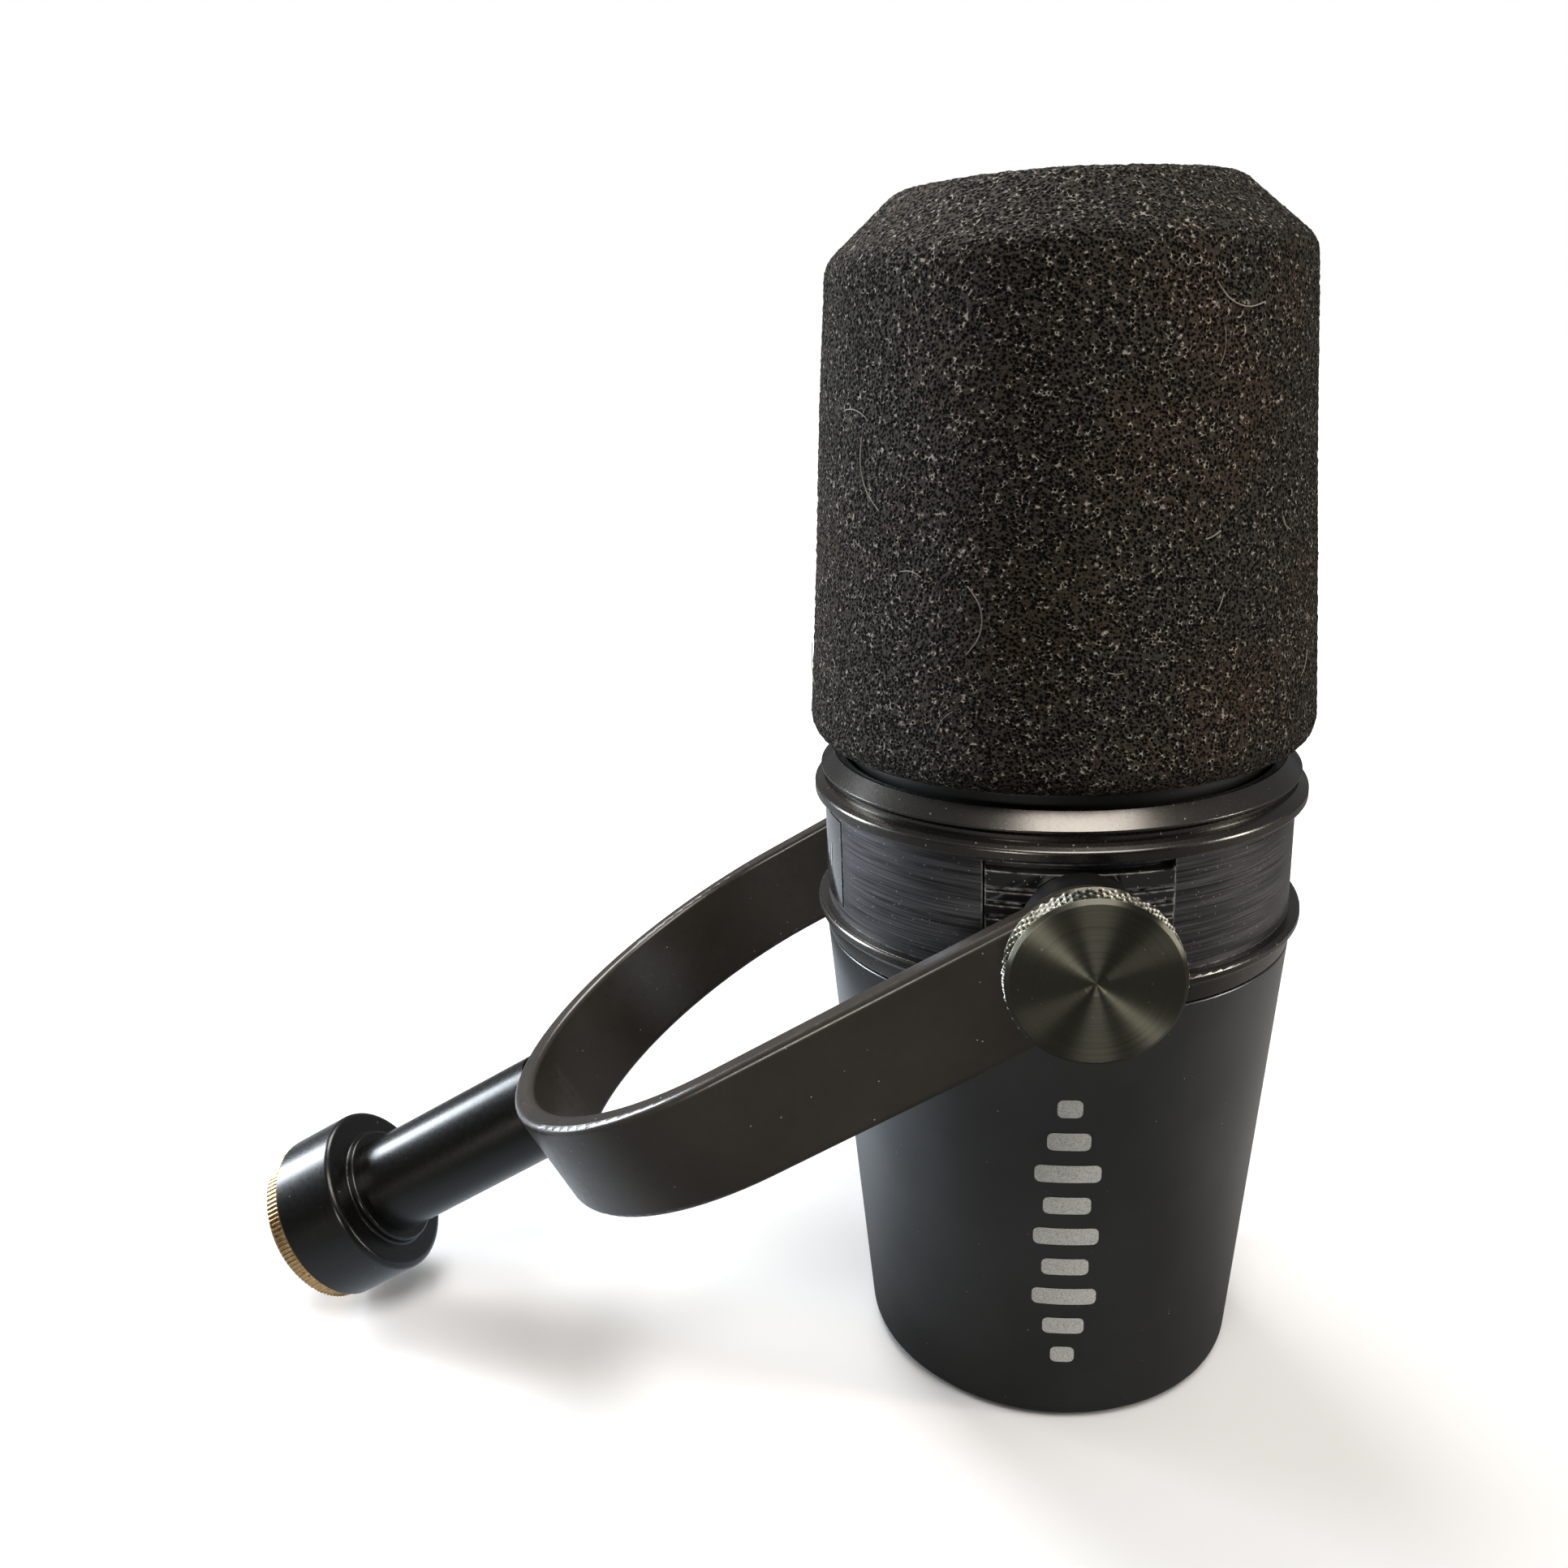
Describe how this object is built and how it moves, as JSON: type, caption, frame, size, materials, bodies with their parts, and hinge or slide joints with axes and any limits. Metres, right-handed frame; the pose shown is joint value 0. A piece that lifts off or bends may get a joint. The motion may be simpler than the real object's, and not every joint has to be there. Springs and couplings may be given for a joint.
{
  "type": "yoke-mounted speech microphone",
  "caption": "Speech microphone with a foam windscreen, tapered rear shell and touch strip, tilting in a half-round yoke with thumb knobs and a stand thread.",
  "frame": {"origin": "centre of the flat rear face that carries the connectors", "axes": "+Z along the microphone towards the windscreen, Y along the tilt pivot, the yoke leans towards -X"},
  "size_m": [0.1475, 0.09, 0.153],
  "materials": {
    "foam": "open-cell foam, charcoal",
    "shell_coat": "matte black powder coat",
    "collar_coat": "satin dark grey",
    "brushed_band": "brushed round the axis, anodised charcoal",
    "yoke_coat": "satin brown-black",
    "knob_metal": "spun and knurled, black anodised",
    "gloss_pad": "glossy black",
    "touch_cover": "glossy smoke",
    "led_diffuser": "translucent white",
    "black_plastic": "moulded black",
    "rubber": "black elastomer",
    "steel": "plain steel",
    "grille_steel": "black perforated steel",
    "brass": "turned brass",
    "contact_metal": "plated contacts",
    "magnet_metal": "sintered magnet",
    "copper_wire": "enamelled copper",
    "film": "thin polyester film",
    "board": "green solder mask",
    "flex": "amber polyimide",
    "chip": "black epoxy",
    "liner_foam": "fine foam"
  },
  "bodies": {
    "microphone": {"grille_mesh": "grille_steel", "grille_ring": "black_plastic", "pop_filter_liner": "liner_foam", "capsule_cage": "black_plastic", "cage_screws": "steel", "shock_mounts": "rubber", "cartridge_body": "steel", "resonator_cap": "black_plastic", "diaphragm": "film", "voice_coil": "copper_wire", "pole_piece": "steel", "magnet": "magnet_metal", "magnet_cup": "steel", "damping_chamber": "black_plastic", "capsule_leads": "copper_wire", "front_collar": "collar_coat", "band_housing": "brushed_band", "inner_chassis": "steel", "touch_strip": "touch_cover", "led_bar": "led_diffuser", "touch_board": "board", "touch_flex": "flex", "rear_collar": "collar_coat", "rear_shell": "shell_coat", "connector_plate": "shell_coat", "plate_screws": "steel", "xlr_housing": "black_plastic", "xlr_pins": "contact_metal", "usb_socket": "contact_metal", "headphone_jack": "black_plastic", "headphone_nut": "contact_metal", "connector_board": "board", "board_standoffs": "brass", "board_screws": "steel", "main_board": "board", "board_brackets": "steel", "board_chips": "chip", "board_capacitors": "contact_metal", "transformer": "magnet_metal", "lead_socket": "led_diffuser", "pivot_pad_left": "gloss_pad", "pivot_bush_left": "steel", "arm_spacer_left": "black_plastic", "pivot_pad_right": "gloss_pad", "pivot_bush_right": "steel", "arm_spacer_right": "black_plastic"},
    "yoke": {"yoke": "yoke_coat", "post_screw": "yoke_coat", "yoke_post": "yoke_coat", "stand_collar": "yoke_coat", "thread_insert": "brass", "arm_sleeve_left": "black_plastic", "arm_sleeve_right": "black_plastic"},
    "windscreen": {"foam_windscreen": "foam"},
    "washer_left": {"clamp_washer_left": "black_plastic"},
    "knob_left": {"thumb_knob_left": "knob_metal", "knob_stud_left": "steel"},
    "washer_right": {"clamp_washer_right": "black_plastic"},
    "knob_right": {"thumb_knob_right": "knob_metal", "knob_stud_right": "steel"}
  },
  "joints": [
    {"name": "yoke_tilt", "type": "hinge", "parent": "microphone", "child": "yoke", "pos_m": [0, 0, 0.0727], "axis": [0, 1, 0], "range_deg": [-42, 90]},
    {"name": "windscreen_pull", "type": "slide", "parent": "microphone", "child": "windscreen", "axis": [0, 0, 1], "range_m": [0, 0.07]},
    {"name": "washer_left_back_off", "type": "slide", "parent": "microphone", "child": "washer_left", "axis": [0, -1, 0], "range_m": [0, 0.0009]},
    {"name": "knob_left_turn", "type": "hinge", "parent": "washer_left", "child": "knob_left", "pos_m": [0, 0, 0.0727], "axis": [0, -1, 0], "range_deg": [0, 360]},
    {"name": "washer_right_back_off", "type": "slide", "parent": "microphone", "child": "washer_right", "axis": [0, 1, 0], "range_m": [0, 0.0009]},
    {"name": "knob_right_turn", "type": "hinge", "parent": "washer_right", "child": "knob_right", "pos_m": [0, 0, 0.0727], "axis": [0, 1, 0], "range_deg": [0, 360]}
  ],
  "couplings": [
    {"joint": "washer_left_back_off", "follows": "knob_left_turn", "m_per_rad": 0.00012732},
    {"joint": "washer_right_back_off", "follows": "knob_right_turn", "m_per_rad": 0.00012732}
  ]
}
